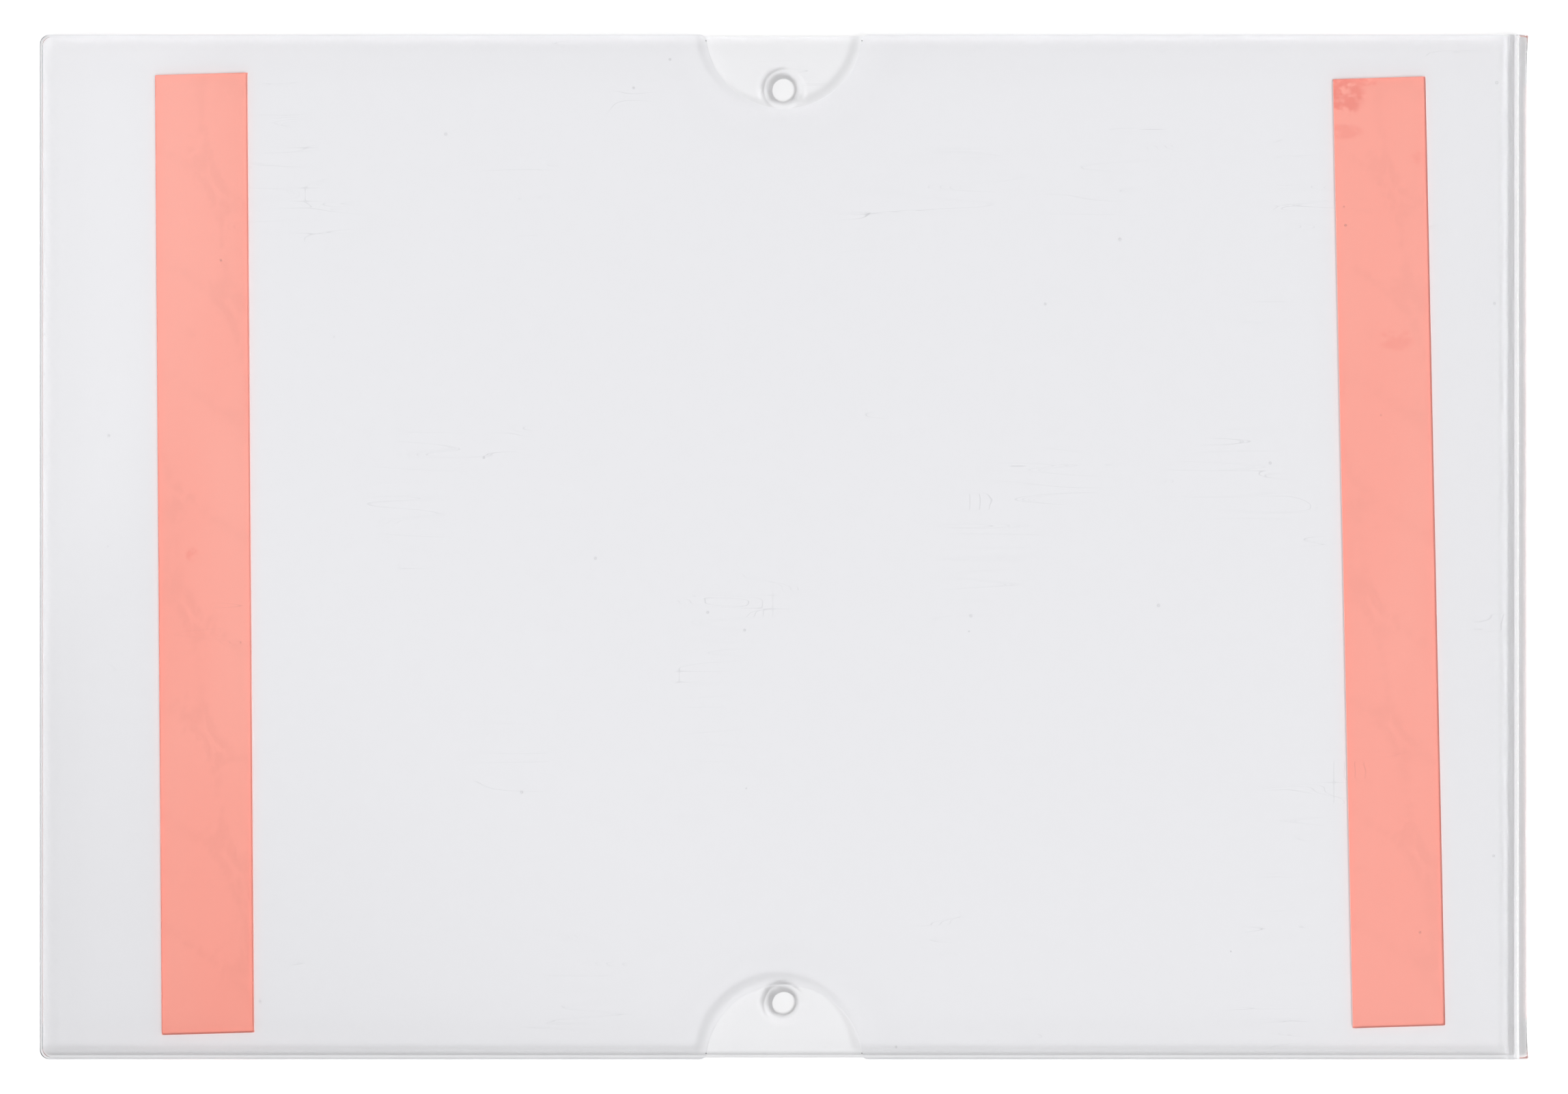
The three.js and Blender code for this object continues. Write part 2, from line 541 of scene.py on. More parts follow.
@dataclass(frozen=True)
class ReleaseFilm:
    """Salmon release film, wavy where it was rubbed down, with paler clouds where air is under it and
    crumpled or mottled places where it was pressed on twice. The crumpled places are bumped, and their
    darker colour is painted shade of the creases."""

    name: str
    mottles: tuple[Mottle, ...] = (
        Mottle(115.0, 92.8, 5.5, 5.2, 1.0),
        Mottle(118.5, 96.0, 6.5, 1.6, 0.7),
        Mottle(115.0, 85.5, 5.0, 2.0, 0.45),
        Mottle(125.8, 42.8, 4.5, 3.0, 0.35),
        Mottle(-121.8, -1.7, 1.6, 2.0, 0.5),
        Mottle(130.5, 80.5, 2.5, 2.0, 0.3),
    )
    colour: Colour = (0.95, 0.335, 0.262, 1.0)
    pale: Colour = (0.96, 0.43, 0.35, 1.0)
    # Painted shade of the crumples' creases
    painted_crease_shade: Colour = (0.86, 0.235, 0.18, 1.0)
    ior: float = 1.45
    cloud_scale: float = 22.0
    cloud_stretch: Direction = (1.0, 1.0, 0.35)
    pale_range: Range = (0.42, 0.75)
    pale_share: float = 0.35
    sheen_range: Range = (0.3, 0.7)
    roughness_range: Range = (0.4, 0.52)
    blotch_scale: float = 420.0
    blotch_stretch: Direction = (1.0, 1.0, 1.3)
    blotch_offset: Direction = (0.4, 0.0, 0.9)
    blotch_range: Range = (0.4, 0.58)
    crumple_height: float = 0.12
    bump_strength: float = 0.5

    def material(self) -> Material:
        """Builds the material.

        Returns:
            The material.
        """
        material, tree, output = start_material(self.name)
        vector = object_coordinates(tree)
        film = tree.nodes.new("ShaderNodeBsdfPrincipled")
        film.inputs["IOR"].default_value = self.ior
        clouds = noise_node(tree, vector, self.cloud_scale, 3.0, self.cloud_stretch)
        airy = ramp(tree, clouds, *self.pale_range, 0.0, self.pale_share)
        crumples_with_painted_shade = self.crumples_with_painted_shade(tree, vector)
        colour = blend_colours(tree, airy, self.colour, self.pale)
        # The crumpled places darken towards a deeper salmon: painted shade of their creases
        link(tree, blend_colours(tree, crumples_with_painted_shade, colour, self.painted_crease_shade), film.inputs["Base Color"])
        sheen = ramp(tree, clouds, *self.sheen_range, *self.roughness_range)
        link(tree, sheen, film.inputs["Roughness"])
        waves = place_group(tree, SheetWaves().group(), vector, {"Strength": 1.0})
        crumples = math_node(tree, "MULTIPLY", crumples_with_painted_shade, self.crumple_height)
        height = math_node(tree, "ADD", waves.outputs["Height"], crumples)
        add_bump(tree, height, self.bump_strength, film)
        link(tree, film.outputs["BSDF"], output.inputs["Surface"])
        return material

    def crumples_with_painted_shade(self, tree: Tree, vector: Socket) -> Socket:
        """Makes the mask of the crumpled places: fine blotches inside the strongest of the mottles. It drives
        their bump and their painted shade.

        Args:
            tree: the material's node tree.
            vector: the coordinates, in metres.

        Returns:
            The mask.
        """
        places = self.mottles[0].mask(tree, vector)
        for mottle in self.mottles[1:]:
            places = math_node(tree, "MAXIMUM", places, mottle.mask(tree, vector))
        blotches = noise_node(tree, vector, self.blotch_scale, 3.0, self.blotch_stretch, self.blotch_offset)
        return math_node(tree, "MULTIPLY", ramp(tree, blotches, *self.blotch_range), places)


@dataclass(frozen=True)
class StagePaint:
    """Matt white wall or floor. It has a little light of its own, which makes it white where no shadow
    falls. Behind the holder that light is turned down as painted shade: it has less of it when it is seen
    through the acrylic, or through a bore, which lies within the painted shade reach of the middle. It is
    clear to light on its way to a matt surface and from behind, so it never shades the holder and the
    back can be seen."""

    name: str
    colour: Colour = (0.6, 0.6, 0.606, 1.0)
    own_light: float = 0.46
    own_light_in_painted_shade: float = 0.21
    painted_shade_reach: float = 0.1

    def material(self) -> Material:
        """Builds the material.

        Returns:
            The material.
        """
        material, tree, output = start_material(self.name)
        path = tree.nodes.new("ShaderNodeLightPath")
        paint = tree.nodes.new("ShaderNodeBsdfDiffuse")
        paint.inputs["Color"].default_value = self.colour
        light = tree.nodes.new("ShaderNodeEmission")
        link(tree, self.light_share(tree, path), light.inputs["Strength"])
        white = tree.nodes.new("ShaderNodeAddShader")
        link(tree, paint.outputs["BSDF"], white.inputs[0])
        link(tree, light.outputs["Emission"], white.inputs[1])
        geometry = tree.nodes.new("ShaderNodeNewGeometry")
        gone = math_node(tree, "MAXIMUM", lamp_rays(tree, path), geometry.outputs["Backfacing"])
        clear_where(tree, gone, WHITE, white.outputs["Shader"], output)
        return material

    def light_share(self, tree: Tree, path: Node) -> Socket:
        """Works out the strength of the paint's own light.

        Args:
            tree: the material's node tree.
            path: its Light Path node.

        Returns:
            The strength, less where the acrylic is in front or where |x| and |z| are both small, which paints
            shade behind the holder.
        """
        place = tree.nodes.new("ShaderNodeSeparateXYZ")
        link(tree, object_coordinates(tree), place.inputs["Vector"])
        across = math_node(tree, "ABSOLUTE", place.outputs["X"])
        up = math_node(tree, "ABSOLUTE", place.outputs["Z"])
        # Painted shade: the own light is turned down where the acrylic is in front and within the reach of
        # the middle, behind the holder
        in_painted_shade_reach = math_node(tree, "LESS_THAN", math_node(tree, "MAXIMUM", across, up), self.painted_shade_reach)
        behind = math_node(tree, "MAXIMUM", path.outputs["Is Transmission Ray"], in_painted_shade_reach)
        less = math_node(tree, "MULTIPLY", behind, self.own_light - self.own_light_in_painted_shade)
        return math_node(tree, "SUBTRACT", self.own_light, less)


# Mesh helpers


@dataclass
class MeshParts:
    """Points, normals and faces of one closed mesh as it grows."""

    points: list[np.ndarray] = field(default_factory=list)
    normals: list[np.ndarray] = field(default_factory=list)
    faces: list[list[int]] = field(default_factory=list)
    slots: list[int] = field(default_factory=list)
    count: int = 0

    def add_points(self, points: np.ndarray, normals: np.ndarray) -> np.ndarray:
        """Adds points of any grid shape.

        Args:
            points: an array whose last axis is x, y, z in millimetres.
            normals: outward directions of the same shape.

        Returns:
            Their indices, in the shape of the grid.
        """
        shape = points.shape[:-1]
        size = int(np.prod(shape))
        self.points.append(points.reshape(size, 3))
        self.normals.append(normals.reshape(size, 3))
        indices = np.arange(self.count, self.count + size).reshape(shape)
        self.count += size
        return indices

    def add_quads(self, grid: np.ndarray, slot: int, flip: bool = False) -> None:
        """Adds the quads between the rows and columns of a grid of indices.

        Args:
            grid: indices in rows and columns.
            slot: the material slot.
            flip: True turns the faces over.
        """
        corners = [grid[:-1, :-1], grid[1:, :-1], grid[1:, 1:], grid[:-1, 1:]]
        quads = np.stack(corners, axis=-1).reshape(-1, 4)
        if flip:
            quads = quads[:, ::-1]
        self.faces.extend(quads.tolist())
        self.slots.extend([slot] * len(quads))

    def add_face(self, *runs: np.ndarray, slot: int, flip: bool = False) -> None:
        """Adds one flat face whose border is several runs of indices in turn.

        Args:
            runs: arrays of indices.
            slot: the material slot.
            flip: True turns the face over.
        """
        border = np.concatenate([np.atleast_1d(run) for run in runs]).tolist()
        self.faces.append(border[::-1] if flip else border)
        self.slots.append(slot)

    def build(self, name: str) -> Object:
        """Makes the object, in metres, with smooth shading from the normals.

        Args:
            name: the object's name.

        Returns:
            The object, at the origin.
        """
        points = np.concatenate(self.points) * MM
        normals = np.concatenate(self.normals)
        normals = normals / np.linalg.norm(normals, axis=1, keepdims=True)
        mesh = bpy.data.meshes.new(name)
        mesh.from_pydata(points.tolist(), [], self.faces)
        mesh.polygons.foreach_set("material_index", np.array(self.slots, dtype=np.int32))
        mesh.polygons.foreach_set("use_smooth", np.ones(len(self.faces), dtype=bool))
        mesh.update()
        mesh.normals_split_custom_set_from_vertices(normals.tolist())
        made = bpy.data.objects.new(name, mesh)
        bpy.context.scene.collection.objects.link(made)
        return made


def arc(centre: tuple[float, float], radius: float, start: float, end: float,
        steps: int) -> PointsAndDirections:
    """Points of an arc, centre + radius·(cos a, sin a) for a from start to end.

    Args:
        centre: the middle of the circle.
        radius: its radius.
        start: the first angle.
        end: the last angle.
        steps: how many parts it has.

    Returns:
        The points and the directions away from the centre.
    """
    angle = np.linspace(start, end, steps + 1)
    away = np.stack([np.cos(angle), np.sin(angle)], axis=1)
    return np.array(centre) + radius * away, away


def rounded_rows(corners: np.ndarray, normals: np.ndarray, radius: float,
                 steps: int) -> PointsAndDirections:
    """Rounds each corner of a section: corner − r·(a + b)/(1 + a·b) + r·n for n turning from a to b.

    Args:
        corners: the sharp corners of the section.
        normals: the outward normal before the first corner, between the corners and after the last.
        radius: the radius of the rounding.
        steps: how many parts each rounding has.

    Returns:
        The points of the section and their normals.
    """
    before, after = normals[:-1], normals[1:]
    cosine = np.sum(before * after, axis=1)
    turn = np.arctan2(before[:, 0] * after[:, 1] - before[:, 1] * after[:, 0], cosine)
    centre = corners - radius * (before + after) / (1 + cosine)[:, None]
    share = np.linspace(0, 1, steps + 1)
    angle = np.arctan2(before[:, 1], before[:, 0])[:, None] + turn[:, None] * share[None, :]
    away = np.stack([np.cos(angle), np.sin(angle)], axis=-1)
    points = centre[:, None, :] + radius * away
    return points.reshape(-1, 2), away.reshape(-1, 2)


def carry(path: PointsAndDirections, section: PointsAndDirections) -> PointsAndDirections:
    """Carries a section along a path: the path's point + out·(direction away from it), and the depth.

    Args:
        path: points in the path's plane and the directions away from it there.
        section: points as out and depth, and directions of the same kind.

    Returns:
        Points and directions by path and by section, each as two numbers in the plane and the depth.
    """
    (line, away), (profile, tilt) = path, section
    shape = (len(line), len(profile), 1)
    plane = line[:, None, :] + profile[None, :, :1] * away[:, None, :]
    depth = np.broadcast_to(profile[None, :, 1:], shape)
    lean = away[:, None, :] * tilt[None, :, :1]
    rise = np.broadcast_to(tilt[None, :, 1:], shape)
    return np.concatenate([plane, depth], axis=-1), np.concatenate([lean, rise], axis=-1)


def edge_section(near: float, far: float, radius: float, steps: int) -> PointsAndDirections:
    """Section of an edge with both of its corners rounded, as out and depth.

    Args:
        near: the depth of the first face.
        far: the depth of the second face.
        radius: the radius of the rounding.
        steps: how many parts each rounding has.

    Returns:
        Points and directions from the first face to the second.
    """
    corners = np.array([[0.0, near], [0.0, far]])
    return rounded_rows(corners, np.array([[0.0, -1.0], [1.0, 0.0], [0.0, 1.0]]), radius, steps)


# The holder


@dataclass
class MountingStrip:
    """One strip of clear mounting tape and the release film on it."""

    side: Side
    centre_x: float
    length: float
    lift: float
    lean: float
    end_skew: float
    width: float = 19.0
    tape_thickness: float = 1.0
    film_thickness: float = 0.12
    bond_line: float = 0.02
    edge_rounding: float = 0.12
    edge_steps: int = 4
    corner_radius: float = 0.5
    corner_steps: int = 6
    film_gap: float = 0.004
    film_waves: float = 0.03
    film_flat_border: Range = (1 / 8, 1 / 60)
    across: int = 24
    along: int = 220

    def corners(self) -> np.ndarray:
        """Corners of the strip as x, z, from the lower left one counterclockwise as the room sees them."""
        half_width, half_length = self.width / 2, self.length / 2
        skew = half_width * math.tan(math.radians(self.end_skew))
        square = np.array([
            [-half_width, -half_length - skew],
            [half_width, -half_length + skew],
            [half_width, half_length + skew],
            [-half_width, half_length - skew],
        ])
        lean = math.radians(self.lean)
        turn = np.array([[math.cos(lean), -math.sin(lean)], [math.sin(lean), math.cos(lean)]])
        return square @ turn.T + np.array([self.centre_x, self.lift])

    def plane(self, across: np.ndarray, along: np.ndarray) -> np.ndarray:
        """Points of the strip's plane: the corners blended by u(1−v), uv, (1−u)v and (1−u)(1−v).

        Args:
            across: u, from 0 on the left to 1.
            along: v, from 0 at the lower end to 1.

        Returns:
            An array of x, z.
        """
        low_left, low_right, high_right, high_left = self.corners()
        u, v = across[..., None], along[..., None]
        low = low_left * (1 - u) * (1 - v) + low_right * u * (1 - v)
        return low + high_right * u * v + high_left * (1 - u) * v

    def build_tape(self) -> Object:
        """Builds the tape: its outline with a rounded section carried round it, and a flat face in front
        and behind, where the adhesive wets its neighbours.

        Returns:
            The object.
        """
        parts = MeshParts()
        corners = self.corners()
        ahead = np.roll(corners, -1, axis=0) - corners
        ahead /= np.linalg.norm(ahead, axis=1, keepdims=True)
        out = np.stack([ahead[:, 1], -ahead[:, 0]], axis=1)
        sides = np.concatenate([out[-1:], out])
        outline = rounded_rows(corners, sides, self.corner_radius, self.corner_steps)
        section = edge_section(self.bond_line, self.tape_thickness, self.edge_rounding, self.edge_steps)
        points, normals = carry(outline, section)
        grid = parts.add_points(points[..., DEPTH_TO_Y], normals[..., DEPTH_TO_Y])
        parts.add_quads(np.concatenate([grid, grid[:1]]), Layer.SIDE.value, flip=True)
        parts.add_face(grid[:, 0], slot=Layer.STUCK.value)
        parts.add_face(grid[:, -1], slot=Layer.STUCK.value, flip=True)
        return parts.build(f"{self.side.value}_clear_tape")

    def film_lift(self, across: np.ndarray, along: np.ndarray) -> np.ndarray:
        """How far the film's front stands off the tape's rear: waves·(sin(27v + 2u)·sin(3u + 5v))², with
        none at its border.

        Args:
            across: u, from 0 to 1.
            along: v, from 0 to 1.

        Returns:
            The lift in millimetres, 0 or more.
        """
        side, end = self.film_flat_border
        from_side = np.minimum(across, 1 - across) / side
        from_end = np.minimum(along, 1 - along) / end
        border = np.clip(np.minimum(from_side, from_end), 0, 1)
        slow, cross = np.sin(27 * along + 2 * across), np.sin(3 * across + 5 * along)
        return self.film_waves * border * (slow * cross) ** 2

    def build_film(self) -> Object:
        """Builds the film: two grids over the strip, its thickness apart, closed round its border.

        Returns:
            The object.
        """
        parts = MeshParts()
        shares = np.linspace(0, 1, self.across + 1), np.linspace(0, 1, self.along + 1)
        u, v = np.meshgrid(*shares, indexing="ij")
        plane = self.plane(u, v)
        front_y = self.tape_thickness + self.film_gap + self.film_lift(u, v)
        rear_y = np.full_like(front_y, self.tape_thickness + self.film_thickness)
        front = np.stack([plane[..., 0], front_y, plane[..., 1]], axis=-1)
        rear = np.stack([plane[..., 0], rear_y, plane[..., 1]], axis=-1)
        down = np.zeros_like(front) + np.array([0.0, -1.0, 0.0])
        columns, rows = np.arange(self.across + 1), np.arange(self.along + 1)
        border = np.concatenate([
            np.stack([columns, np.zeros_like(columns)], axis=1),
            np.stack([np.full(self.along, self.across), rows[1:]], axis=1),
            np.stack([columns[-2::-1], np.full(self.across, self.along)], axis=1),
            np.stack([np.zeros(self.along - 1, int), rows[-2:0:-1]], axis=1),
        ])
        front_grid = parts.add_points(front, down)
        rear_grid = parts.add_points(rear, -down)
        parts.add_quads(front_grid, 0)
        parts.add_quads(rear_grid, 0, flip=True)
        place = border[:, 0], border[:, 1]
        loop = np.stack([front_grid[place], rear_grid[place]], axis=1)
        parts.add_quads(np.concatenate([loop, loop[:1]]), 0, flip=True)
        return parts.build(f"{self.side.value}_release_film")

    def dress(self, tape: Object, film: Object, side_finish: Material,
              contact: Material, film_finish: Material) -> None:
        """Gives the strip its finishes and puts it in the frame.

        Args:
            tape: the tape's object.
            film: the film's object.
            side_finish: the material of the tape's sides.
            contact: the material where it is stuck.
            film_finish: the material of the film.
        """
        tape.data.materials.append(side_finish)
        tape.data.materials.append(contact)
        film.data.materials.append(film_finish)
        for piece, node, slot in ((tape, "tape", "clear_tape"), (film, "liner", "liner_film")):
            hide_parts(f"{self.side.value}_{node}")
            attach(piece, ROOT)


@dataclass
class FoldedPocket:
    """The pocket: one sheet, drawn flat with its edges rounded, then bent over on itself.

    A point of the flat sheet is s along it from the front's free edge, z up it and w down from its
    outside. Flat parts keep these, and on the bend the angle is (s − start)/neutral radius.
    """

    length: float = 305.0
    height: float = 210.0
    thickness: float = 2.0
    slot: float = 2.0
    corner_radius: float = 2.0
    polish: float = 0.2
    flare: float = 0.35
    flare_decay: float = 3.5
    notch_radius: float = 16.0
    notch_depth: float = 15.2
    shoulder_radius: float = 1.4
    bore: float = 4.8
    countersink: float = 8.2
    screw_inset: float = 11.0
    break_edge: float = 0.1
    break_steps: int = 3
    bend_steps: int = 64
    level_steps: int = 64
    corner_steps: int = 16
    shoulder_steps: int = 14
    notch_steps: int = 96
    edge_steps: int = 6
    hole_steps: int = 72

    @property
    def outer_radius(self) -> float:
        """Radius of the outside of the bend."""
        return self.slot / 2 + self.thickness

    @property
    def neutral_radius(self) -> float:
        """Radius of the middle of the bent sheet."""
        return self.slot / 2 + self.thickness / 2

    @property
    def fold_x(self) -> float:
        """Where the bend starts, as x."""
        return self.length / 2 - self.outer_radius

    @property
    def flat_length(self) -> float:
        """Length of each flat part."""
        return self.fold_x + self.length / 2

    @property
    def back_start(self) -> float:
        """Where the back's flat part starts, as s."""
        return self.flat_length + math.pi * self.neutral_radius

    def back_s(self, x: float) -> float:
        """Where x on the back is, as s."""
        return self.back_start + self.fold_x - x

    def bent(self, flat: np.ndarray, lean: np.ndarray) -> PointsAndDirections:
        """Bends the flat sheet: angle a = (s − start)/neutral radius held between 0 and pi, radius
        r = outside − w, x = start + r·sin a + the flat length before or after, y = −outside − r·cos a.
        The outside of the bend then moves out by flare·exp((|z| − half)/decay)·(x − start)/outside.

        Args:
            flat: points as s, z, w.
            lean: outward directions as s, z, w.

        Returns:
            Points and normals as x, y, z.
        """
        s, z, w = flat[..., 0], flat[..., 1], flat[..., 2]
        angle = np.clip((s - self.flat_length) / self.neutral_radius, 0, math.pi)
        before = np.minimum(s - self.flat_length, 0)
        after = np.maximum(s - self.back_start, 0)
        radius = self.outer_radius - w
        sine, cosine = np.sin(angle), np.cos(angle)
        x = self.fold_x + radius * sine + before - after
        y = -self.outer_radius - radius * cosine
        nx = lean[..., 0] * cosine - lean[..., 2] * sine
        ny = lean[..., 0] * sine + lean[..., 2] * cosine
        nz = lean[..., 1]
        past = x - self.fold_x - self.polish
        into = np.maximum(past, 0) / self.outer_radius
        slope = np.where(past > 0, 1 / self.outer_radius, 0)
        spread = self.flare * np.exp((np.abs(z) - self.height / 2) / self.flare_decay)
        stretch = 1 + spread * slope
        nx_new = nx / stretch
        nz_new = nz - np.sign(z) * spread / self.flare_decay * into / stretch * nx
        points = np.stack([x + spread * into, y, z], axis=-1)
        return points, np.stack([nx_new, ny, nz_new], axis=-1)

    def notch(self, side: int) -> PointsAndDirections:
        """Outline of a thumb notch in the front: a shoulder arc, the notch's own arc and a shoulder arc.

        Args:
            side: 1 for the top edge, walked leftwards, and −1 for the bottom edge, walked rightwards.

        Returns:
            Points as s, z and outward directions.
        """
        rise = self.notch_radius - self.notch_depth
        reach = self.notch_radius + self.shoulder_radius
        drop = rise + self.shoulder_radius
        shoulder = math.sqrt(reach**2 - drop**2)
        lean = math.asin(drop / reach)
        middle = self.length / 2
        shoulder_z = side * (self.height / 2 - self.shoulder_radius)
        outward = side * math.pi / 2
        first = arc((middle + side * shoulder, shoulder_z), self.shoulder_radius,
                    outward, outward + math.pi / 2 + lean, self.shoulder_steps)
        bow = arc((middle, side * (self.height / 2 + rise)), self.notch_radius,
                  outward - math.pi / 2 - lean, outward - 3 * math.pi / 2 + lean, self.notch_steps)
        last = arc((middle - side * shoulder, shoulder_z), self.shoulder_radius,
                   outward - math.pi / 2 - lean, outward, self.shoulder_steps)
        points = np.concatenate([first[0][:-1], bow[0], last[0][1:]])
        away = np.concatenate([first[1][:-1], -bow[1], last[1][1:]])
        return points, away

    def straight(self, places: list[float], side: int) -> PointsAndDirections:
        """Points on the top or bottom edge, at the given s and z = ±height/2.

        Args:
            places: the s of each point.
            side: 1 for the top edge and −1 for the bottom one.

        Returns:
            Points as s, z and outward directions.
        """
        s = np.array(places, dtype=float)
        points = np.stack([s, np.full_like(s, side * self.height / 2)], axis=1)
        return points, np.broadcast_to(np.array([0.0, float(side)]), points.shape)

    def outline(self, cuts: list[float]) -> tuple[np.ndarray, np.ndarray, dict[str, int]]:
        """Outline of the flat sheet, counterclockwise in s, z from its lower left corner.

        Args:
            cuts: the s on the back where faces meet its edges, rising.

        Returns:
            The points, the outward directions, and where each named run starts.
        """
        end = self.back_start + self.flat_length
        radius = self.corner_radius
        high = self.height / 2 - radius
        steps = self.corner_steps
        bend = self.bend_places()
        pieces = [
            ("start", arc((radius, -high), radius, math.pi, 1.5 * math.pi, steps)),
            ("low_notch", self.notch(-1)),
            ("low_bend", self.straight(bend.tolist(), -1)),
            ("low_back", self.straight(cuts, -1)),
            ("low_corner", arc((end - radius, -high), radius, 1.5 * math.pi, 2 * math.pi, steps)),
            ("high_corner", arc((end - radius, high), radius, 0.0, 0.5 * math.pi, steps)),
            ("high_back", self.straight(cuts[::-1], 1)),
            ("high_bend", self.straight(bend[::-1].tolist(), 1)),
            ("high_notch", self.notch(1)),
            ("finish", arc((radius, high), radius, 0.5 * math.pi, math.pi, steps)),
        ]
        starts, count = {}, 0
        for name, (points, _) in pieces:
            starts[name] = count
            count += len(points)
        points, away = zip(*(piece for _, piece in pieces))
        return np.concatenate(points), np.concatenate(away), starts

    def bend_places(self) -> np.ndarray:
        """The s of the columns of the bend's grid, its two ends included."""
        return np.linspace(self.flat_length, self.back_start, self.bend_steps + 1)

    def levels(self) -> np.ndarray:
        """Levels of the bend's grid between its two ends, z = top·sin(pi/2·t) for t from −1 to 1, which
        crowds them where it flares, without the ends themselves."""
        top = self.height / 2 - self.polish
        return top * np.sin(0.5 * math.pi * np.linspace(-1, 1, self.level_steps + 1))[1:-1]

    def screw_hole(self, parts: MeshParts, z: float) -> np.ndarray:
        """Adds a countersunk hole: its section carried round the y axis through x = 0 and z.

        Args:
            parts: the mesh that it goes into.
            z: the level of its axis.

        Returns:
            Indices by angle, from the hole's right over its top, and by row, from the rear face to the
            face in the slot.
        """
        bore, head = self.bore / 2, self.countersink / 2
        depth = head - bore
        slant = math.sqrt(0.5)
        section = rounded_rows(
            np.array([[bore, 0.0], [bore, -self.thickness + depth], [head, -self.thickness]]),
            np.array([[0.0, 1.0], [-1.0, 0.0], [-slant, -slant], [0.0, -1.0]]),
            self.break_edge, self.break_steps,
        )
        angle = np.arange(self.hole_steps) * 2 * math.pi / self.hole_steps
        away = np.stack([np.cos(angle), np.sin(angle)], axis=1)
        axis = np.broadcast_to(np.array([0.0, z]), away.shape)
        points, normals = carry((axis, away), section)
        grid = parts.add_points(points[..., DEPTH_TO_Y], normals[..., DEPTH_TO_Y])
        parts.add_quads(np.concatenate([grid, grid[:1]]), Face.DRILLED.value, flip=True)
        return grid

    def bend_grid(self, parts: MeshParts, low: np.ndarray, high: np.ndarray, depth: float,
                  outward: float, flip: bool) -> np.ndarray:
        """Adds one face of the bend, between the edges' own points.

        Args:
            parts: the mesh that it goes into.
            low: indices of the lower edge's points, by rising s.
            high: indices of the upper edge's points, by rising s.
            depth: w of the face.
            outward: the normal's w, −1 on the outside and 1 on the inside.
            flip: True turns the faces over.

        Returns:
            Indices by s and by level, ends included.
        """
        s_grid, z_grid = np.meshgrid(self.bend_places(), self.levels(), indexing="ij")
        flat = np.stack([s_grid, z_grid, np.full_like(s_grid, depth)], axis=-1)
        lean = np.zeros_like(flat)
        lean[..., 2] = outward
        inner = parts.add_points(*self.bent(flat, lean))
        grid = np.concatenate([low[:, None], inner, high[:, None]], axis=1)
        parts.add_quads(grid, Face.EDGE.value, flip=flip)
        return grid

    def build(self, strips: list[MountingStrip]) -> Object:
        """Builds the pocket as one closed mesh.

        Args:
            strips: the strips that it is stuck to, from the left.

        Returns:
            The object.
        """
        parts = MeshParts()
        left, right = strips
        cuts = [self.back_s(right.centre_x), self.back_s(0.0), self.back_s(left.centre_x)]
        outline, away, at = self.outline(cuts)
        section = edge_section(0.0, self.thickness, self.polish, self.edge_steps)
        edge = parts.add_points(*self.bent(*carry((outline, away), section)))
        parts.add_quads(np.concatenate([edge, edge[:1]]), Face.EDGE.value, flip=True)

        outside, inside = edge[:, 0], edge[:, -1]
        low_bend = slice(at["low_bend"], at["low_back"])
        high_bend = slice(at["high_bend"], at["high_notch"])
        outer = self.bend_grid(parts, outside[low_bend], outside[high_bend][::-1], 0.0, -1.0, False)
        inner = self.bend_grid(parts, inside[low_bend], inside[high_bend][::-1], self.thickness, 1.0, True)
        sheet = Face.SHEET.value
        for rim, bend, flip in ((outside, outer, False), (inside, inner, True)):
            parts.add_face(rim[at["high_notch"]:], rim[:at["low_bend"]], bend[0], slot=sheet, flip=flip)

        screw_z = self.height / 2 - self.screw_inset
        half, quarter = self.hole_steps // 2, self.hole_steps // 4
        turned = [np.roll(self.screw_hole(parts, z), quarter, axis=0) for z in (-screw_z, screw_z)]
        right_halves = [hole[:half + 1] for hole in turned]
        left_halves = [np.concatenate([hole[half:], hole[:1]]) for hole in turned]
        low_back, high_back = at["low_back"], at["high_back"]
        right_cut, middle_cut, left_cut = 0, 1, 2
        free_side = slice(at["low_corner"], at["high_back"])

        # The face in the slot has two parts, either side of the screw holes
        slot_side = -1
        parts.add_face(
            inner[-1][::-1], inside[low_back:low_back + 2],
            right_halves[0][:, slot_side], right_halves[1][:, slot_side],
            inside[high_back + 1:high_back + 3], slot=sheet, flip=True,
        )
        parts.add_face(
            inside[low_back + 1:low_back + 3], inside[free_side], inside[high_back:high_back + 2],
            left_halves[1][:, slot_side], left_halves[0][:, slot_side], slot=sheet, flip=True,
        )

        # The rear face has four, split at the strips as well, and one under each strip
        stuck = [self.bonded_patch(parts, strip) for strip in strips]
        rear_side = 0
        parts.add_face(
            outer[-1][::-1], outside[low_back + right_cut], stuck[1]["right"],
            outside[high_back + 2], slot=sheet,
        )
        parts.add_face(
            outside[low_back + right_cut:low_back + middle_cut + 1],
            right_halves[0][:, rear_side], right_halves[1][:, rear_side],
            outside[high_back + 1:high_back + 3], stuck[1]["left"], slot=sheet,
        )
        parts.add_face(
            outside[low_back + middle_cut:low_back + left_cut + 1], stuck[0]["right"],
            outside[high_back:high_back + 2],
            left_halves[1][:, rear_side], left_halves[0][:, rear_side], slot=sheet,
        )
        parts.add_face(
            outside[low_back + left_cut], outside[free_side], outside[high_back], stuck[0]["left"],
            slot=sheet,
        )
        for patch in stuck:
            parts.add_face(patch["right"], patch["left"][1:-1], slot=Face.BONDED.value, flip=True)
        return parts.build("clear_pocket")

